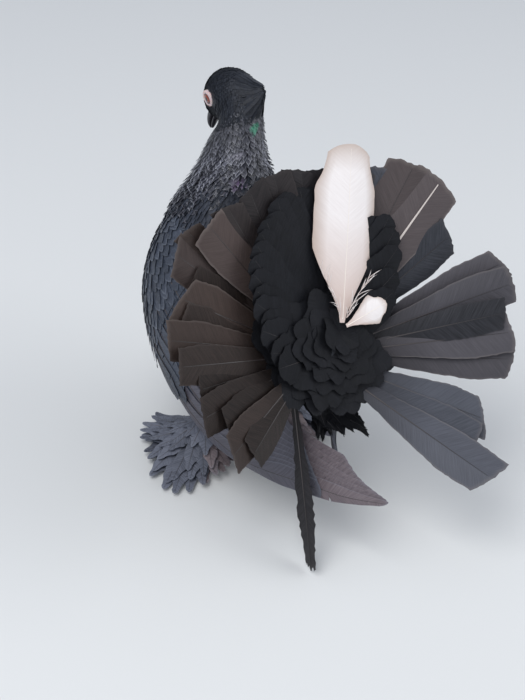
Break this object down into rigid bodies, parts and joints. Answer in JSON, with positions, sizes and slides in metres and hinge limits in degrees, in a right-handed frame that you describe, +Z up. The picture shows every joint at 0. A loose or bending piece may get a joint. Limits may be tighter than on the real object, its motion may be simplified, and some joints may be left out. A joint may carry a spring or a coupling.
{
  "type": "indian fantail pigeon",
  "caption": "Life-size still model of a black Indian fantail pigeon standing with its tail fanned, head drawn back and feathered feet.",
  "frame": {"origin": "on the floor, under the middle of the bird's bounding box", "axes": "+Z up; the bird faces -Y and its left side is +X"},
  "size_m": [0.2718, 0.3044, 0.3094],
  "materials": {
    "body_feathers": "slate black feathers, with a dull green and purple sheen on the neck",
    "wing_feathers": "slate blue-black feathers",
    "tail_feathers": "brown-black feathers, with one white covert",
    "bare_skin": "pale pink skin round the eye",
    "cere": "powdery white skin",
    "horn": "black horn of the bill and claws",
    "eye": "wet orange-red eye"
  },
  "bodies": {
    "root": {"cere": "cere", "claw_left_hind": "horn", "claw_left_inner": "horn", "claw_left_middle": "horn", "claw_left_outer": "horn", "claw_right_hind": "horn", "claw_right_inner": "horn", "claw_right_middle": "horn", "claw_right_outer": "horn", "eye_left": "eye", "eye_right": "eye", "eye_ring_left": "bare_skin", "eye_ring_right": "bare_skin", "foot_left": "body_feathers", "foot_right": "body_feathers", "head": "body_feathers", "leg_left": "body_feathers", "leg_right": "body_feathers", "lower_bill": "horn", "neck": "body_feathers", "tail": "tail_feathers", "torso": "body_feathers", "upper_bill": "horn", "wing_left": "wing_feathers", "wing_right": "wing_feathers"}
  },
  "joints": []
}
